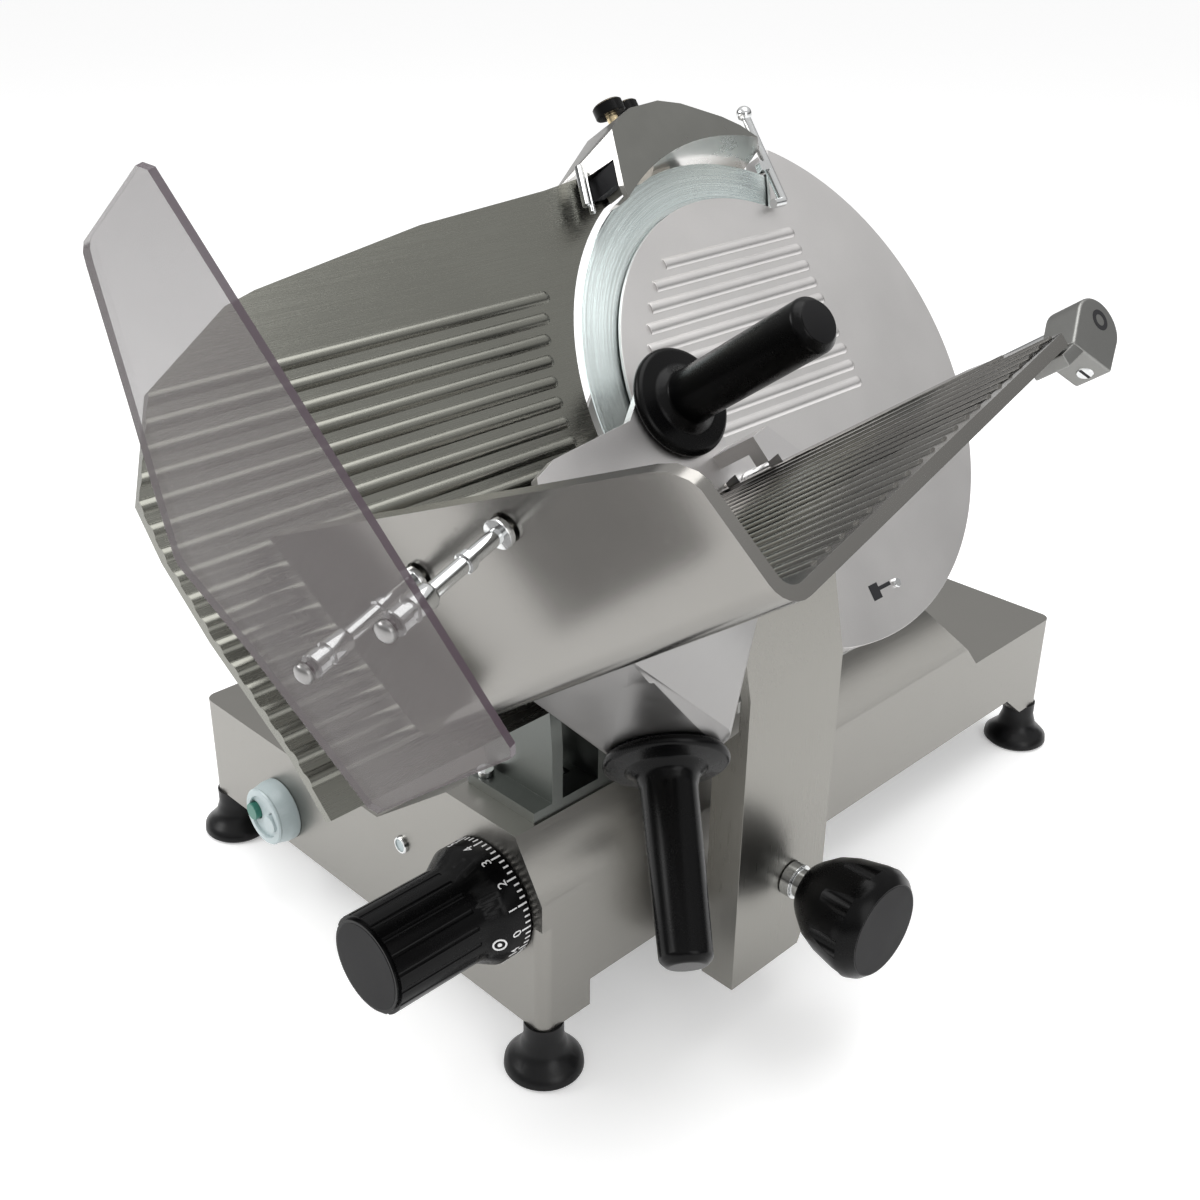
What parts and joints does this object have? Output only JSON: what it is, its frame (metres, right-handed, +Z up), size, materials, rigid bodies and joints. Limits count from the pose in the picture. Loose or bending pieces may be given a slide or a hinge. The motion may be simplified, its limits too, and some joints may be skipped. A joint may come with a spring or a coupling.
{
  "type": "electric food slicer",
  "caption": "Gravity-feed food slicer with a leaning round blade, ribbed gauge plate, sliding V-shaped tray with clear hand guard, pusher, sharpener and numbered thickness dial on a cast base.",
  "frame": {"origin": "middle of the whole machine's outline, on the bench under its feet", "axes": "+Z up; +Y away from the operator along the carriage travel; +X to the operator's right, on the side of the tray"},
  "size_m": [0.5703, 0.7678, 0.5594],
  "materials": {
    "anodised_aluminium": "fine-brushed, clear anodised",
    "cast_aluminium": "blasted casting",
    "tray_aluminium": "polished casting",
    "blade_steel": "ground and polished",
    "plain_steel": "turned",
    "black_plastic": "satin gloss",
    "rubber": "moulded",
    "brass": "turned",
    "clear_guard": "clear sheet with polished edges",
    "pale_plastic": "satin",
    "green_plastic": "satin",
    "stone": "open grain abrasive",
    "belt": "ribbed"
  },
  "bodies": {
    "frame": {"base": "anodised_aluminium", "bottom_cover": "cast_aluminium", "feet": "rubber", "foot_screws": "plain_steel", "guide_rod": "plain_steel", "steady_rod": "plain_steel", "rod_buffers": "rubber", "cable_gland": "black_plastic", "switch_body": "pale_plastic", "pilot_lamp": "pale_plastic", "gauge_post": "cast_aluminium", "blade_support": "cast_aluminium", "support_bolts": "plain_steel", "belt_cover": "anodised_aluminium", "spindle_bearings": "plain_steel", "drive_belt": "belt", "motor": "cast_aluminium", "ring_guard": "cast_aluminium", "blade_cover": "anodised_aluminium", "sharpener_housing": "tray_aluminium", "sharpener_latch": "blade_steel"},
    "start_switch": {"start_button": "green_plastic"},
    "stop_switch": {"stop_button": "pale_plastic"},
    "thickness_dial": {"dial": "black_plastic", "dial_shaft": "plain_steel"},
    "gauge": {"gauge_plate": "anodised_aluminium", "gauge_slide": "cast_aluminium", "gauge_bolts": "plain_steel", "gauge_rod": "plain_steel", "gauge_follower": "plain_steel"},
    "motor_rotor": {"motor_shaft": "plain_steel", "motor_pulley": "plain_steel"},
    "blade_rotor": {"blade_spindle": "plain_steel", "blade_pulley": "plain_steel", "blade": "blade_steel", "blade_screws": "plain_steel"},
    "cover_lock": {"cover_tie_rod": "plain_steel", "cover_knob": "black_plastic"},
    "carriage": {"slide_block": "cast_aluminium", "slide_bushes": "brass", "carriage_foot": "cast_aluminium", "carriage_arm": "anodised_aluminium", "tray": "tray_aluminium", "tray_screws": "plain_steel", "handle_bracket": "cast_aluminium", "carriage_handle": "black_plastic", "hand_guard": "clear_guard", "guard_standoffs": "blade_steel", "guard_screws": "black_plastic", "rod_block": "anodised_aluminium", "pusher_rod": "plain_steel"},
    "tray_lock": {"lock_stud": "plain_steel", "lock_knob": "black_plastic"},
    "pusher_runner": {"pusher_collar": "plain_steel"},
    "pusher": {"pusher_plate": "tray_aluminium", "pusher_handle": "black_plastic"},
    "grinder": {"sharpen_button": "brass", "grinding_stone": "stone"},
    "honer": {"hone_button": "brass", "honing_stone": "stone"}
  },
  "joints": [
    {"name": "carriage_slide", "type": "slide", "parent": "frame", "child": "carriage", "axis": [0, 1, 0], "range_m": [0, 0.27]},
    {"name": "tray_lock_turn", "type": "hinge", "parent": "carriage", "child": "tray_lock", "pos_m": [0.13, -0.01756, 0.094], "axis": [1, 0, 0], "range_deg": [0, 180]},
    {"name": "pusher_slide", "type": "slide", "parent": "carriage", "child": "pusher_runner", "axis": [0.809, 0, 0.5878], "range_m": [0, 0.17]},
    {"name": "pusher_swing", "type": "hinge", "parent": "pusher_runner", "child": "pusher", "pos_m": [0.07095, 0.0061, 0.3254], "axis": [0.809, 0, 0.5878], "range_deg": [-100, 0]},
    {"name": "motor_spin", "type": "hinge", "parent": "frame", "child": "motor_rotor", "pos_m": [0.04783, 0.08844, 0.13605], "axis": [0.809, 0, 0.5878], "continuous": true},
    {"name": "blade_spin", "type": "hinge", "parent": "frame", "child": "blade_rotor", "pos_m": [0.016, 0.08844, 0.35], "axis": [0.809, 0, 0.5878], "continuous": true},
    {"name": "dial_turn", "type": "hinge", "parent": "frame", "child": "thickness_dial", "pos_m": [0.035, -0.17306, 0.111], "axis": [0, -1, 0], "range_deg": [0, 300]},
    {"name": "gauge_travel", "type": "slide", "parent": "frame", "child": "gauge", "axis": [-0.809, 0, -0.5878], "range_m": [0, 0.014]},
    {"name": "cover_knob_turn", "type": "hinge", "parent": "frame", "child": "cover_lock", "pos_m": [-0.09726, 0.08844, 0.26771], "axis": [0.809, 0, 0.5878], "range_deg": [0, 360]},
    {"name": "grinder_press", "type": "slide", "parent": "frame", "child": "grinder", "axis": [0.5878, 0, -0.809], "range_m": [0, 0.004], "stiffness_N_per_m": 300},
    {"name": "honer_press", "type": "slide", "parent": "frame", "child": "honer", "axis": [0.5878, 0, -0.809], "range_m": [0, 0.004], "stiffness_N_per_m": 300},
    {"name": "start_press", "type": "slide", "parent": "frame", "child": "start_switch", "axis": [0, 1, 0], "range_m": [0, 0.003], "stiffness_N_per_m": 300},
    {"name": "stop_press", "type": "slide", "parent": "frame", "child": "stop_switch", "axis": [0, 1, 0], "range_m": [0, 0.003], "stiffness_N_per_m": 300}
  ],
  "couplings": [
    {"joint": "blade_spin", "follows": "motor_spin", "ratio": 0.44},
    {"joint": "dial_turn", "follows": "gauge_travel", "rad_per_m": 374}
  ]
}
